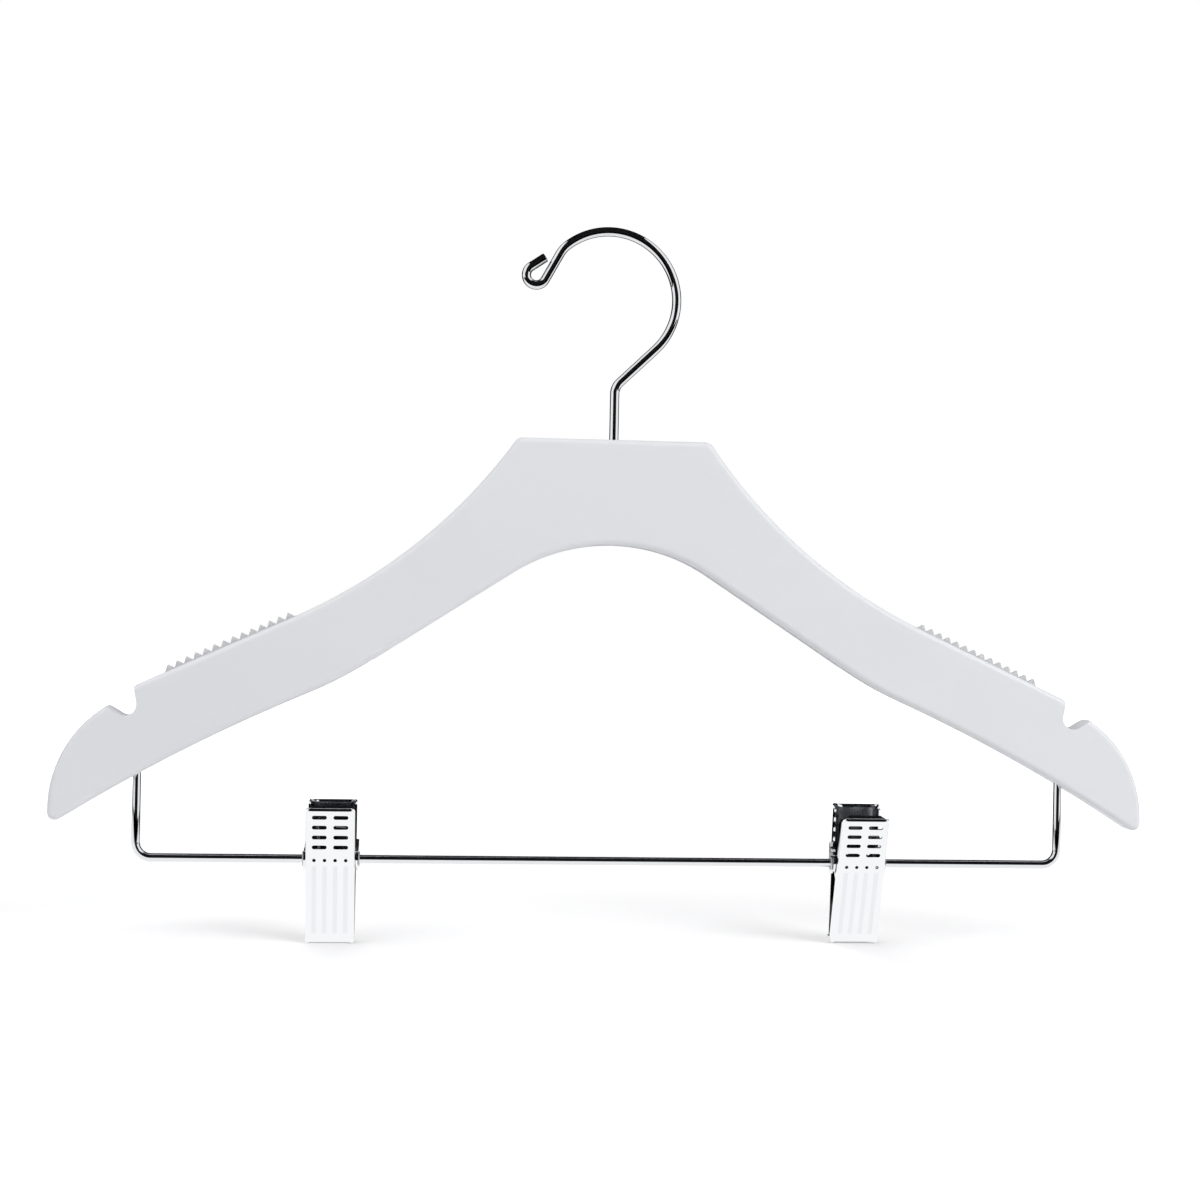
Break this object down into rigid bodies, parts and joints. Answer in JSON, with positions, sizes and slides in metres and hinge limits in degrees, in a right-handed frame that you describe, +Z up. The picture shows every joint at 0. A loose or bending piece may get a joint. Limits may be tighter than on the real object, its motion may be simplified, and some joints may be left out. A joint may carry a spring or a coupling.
{
  "type": "skirt hanger",
  "caption": "Wooden clothes hanger with a swivelling wire hook, strap notches, ribbed grip strips and a trouser bar that carries sprung sliding clips.",
  "frame": {"origin": "where the rail touches the inside top of the hook", "axes": "+X to the right as seen from the front, along the bar; +Y to the back; +Z up"},
  "size_m": [0.4472, 0.0263, 0.2941],
  "materials": {
    "white_lacquer": "opaque white satin lacquer on wood",
    "hook_chrome": "bright chrome on steel wire",
    "bar_chrome": "bright chrome on steel wire",
    "clip_chrome": "bright chrome on pressed steel",
    "plain_steel": "zinc-plated steel",
    "spring_steel": "drawn spring wire",
    "bush_nylon": "moulded white nylon",
    "strip_rubber": "translucent pale grey rubber",
    "pad_rubber": "matt black rubber"
  },
  "bodies": {
    "hook": {"hook": "hook_chrome"},
    "hanger": {"left_arm": "white_lacquer", "right_arm": "white_lacquer", "hook_bush": "bush_nylon", "hook_washer": "plain_steel", "left_grip_strip": "strip_rubber", "right_grip_strip": "strip_rubber", "trouser_bar": "bar_chrome"},
    "left_clip_pivot": {"left_pivot_tube": "plain_steel"},
    "left_clip_rear": {"left_rear_jaw": "clip_chrome", "left_rear_pad": "pad_rubber", "left_clip_spring": "spring_steel"},
    "left_clip_front": {"left_front_jaw": "clip_chrome", "left_front_pad": "pad_rubber"},
    "right_clip_pivot": {"right_pivot_tube": "plain_steel"},
    "right_clip_rear": {"right_rear_jaw": "clip_chrome", "right_rear_pad": "pad_rubber", "right_clip_spring": "spring_steel"},
    "right_clip_front": {"right_front_jaw": "clip_chrome", "right_front_pad": "pad_rubber"}
  },
  "joints": [
    {"name": "hook_swivel", "type": "hinge", "parent": "hook", "child": "hanger", "pos_m": [0.00301, 0, -0.08394], "axis": [0, 0, 1], "continuous": true},
    {"name": "left_clip_slide", "type": "slide", "parent": "hanger", "child": "left_clip_pivot", "axis": [1, 0, 0], "range_m": [-0.05995, 0.09985]},
    {"name": "left_clip_swing", "type": "hinge", "parent": "left_clip_pivot", "child": "left_clip_rear", "pos_m": [-0.10849, 0, -0.25634], "axis": [1, 0, 0], "continuous": true},
    {"name": "left_clip_open", "type": "hinge", "parent": "left_clip_rear", "child": "left_clip_front", "pos_m": [-0.10849, 0, -0.25634], "axis": [-1, 0, 0], "range_deg": [0, 28], "stiffness_Nm_per_rad": 0.1, "springref_deg": -57.3, "deforming": ["left_clip_spring"]},
    {"name": "right_clip_slide", "type": "slide", "parent": "hanger", "child": "right_clip_pivot", "axis": [1, 0, 0], "range_m": [-0.09325, 0.06655]},
    {"name": "right_clip_swing", "type": "hinge", "parent": "right_clip_pivot", "child": "right_clip_rear", "pos_m": [0.10791, 0, -0.25634], "axis": [1, 0, 0], "continuous": true},
    {"name": "right_clip_open", "type": "hinge", "parent": "right_clip_rear", "child": "right_clip_front", "pos_m": [0.10791, 0, -0.25634], "axis": [-1, 0, 0], "range_deg": [0, 28], "stiffness_Nm_per_rad": 0.1, "springref_deg": -57.3, "deforming": ["right_clip_spring"]}
  ]
}
